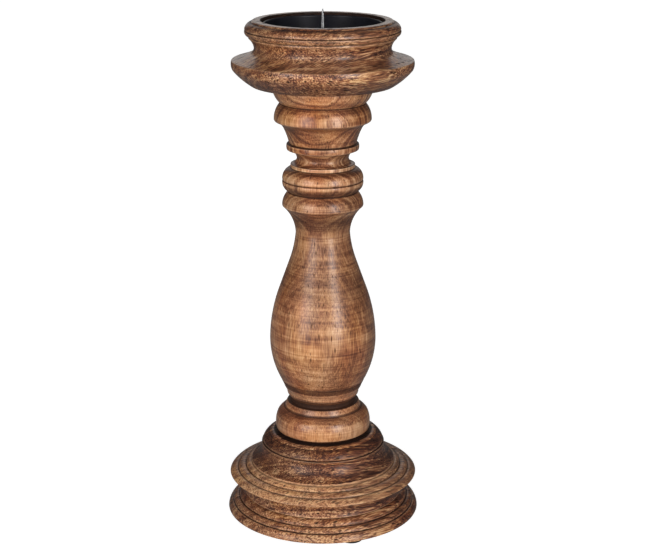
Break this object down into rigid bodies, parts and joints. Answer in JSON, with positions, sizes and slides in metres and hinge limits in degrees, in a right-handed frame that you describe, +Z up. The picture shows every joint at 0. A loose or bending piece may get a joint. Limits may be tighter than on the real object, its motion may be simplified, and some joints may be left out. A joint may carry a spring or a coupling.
{
  "type": "pricket candle stand",
  "caption": "Tall turned wooden candle stand: stepped base, baluster column and rolled-rim cup with a steel dish and spike for a pillar candle.",
  "frame": {"origin": "on the surface that the stand rests on, under the middle of the base", "axes": "+Z up along the turning axis, towards the spike; -Y towards the side that the picture shows"},
  "size_m": [0.1354, 0.1354, 0.3573],
  "materials": {
    "wood_dark": "dark stained mango wood, waxed to a satin sheen",
    "wood_light": "tan stained mango wood, waxed to a satin sheen",
    "steel_black": "pressed steel with a black satin enamel",
    "steel_bright": "bare turned steel",
    "steel_zinc": "zinc plated steel",
    "rubber_black": "moulded black rubber"
  },
  "bodies": {
    "root": {"base": "wood_dark", "column": "wood_light", "cup": "wood_dark", "base_screw": "steel_zinc", "base_screw_washer": "steel_zinc", "cup_screw": "steel_zinc", "cup_screw_washer": "steel_zinc", "foot_pad_1": "rubber_black", "foot_pad_2": "rubber_black", "foot_pad_3": "rubber_black", "foot_pad_4": "rubber_black", "foot_pad_nails": "steel_zinc"},
    "dish": {"candle_dish": "steel_black", "pricket": "steel_bright", "pricket_washer": "steel_bright"}
  },
  "joints": [
    {"name": "dish_lift", "type": "slide", "parent": "root", "child": "dish", "axis": [0, 0, 1], "range_m": [0, 0.06]}
  ]
}
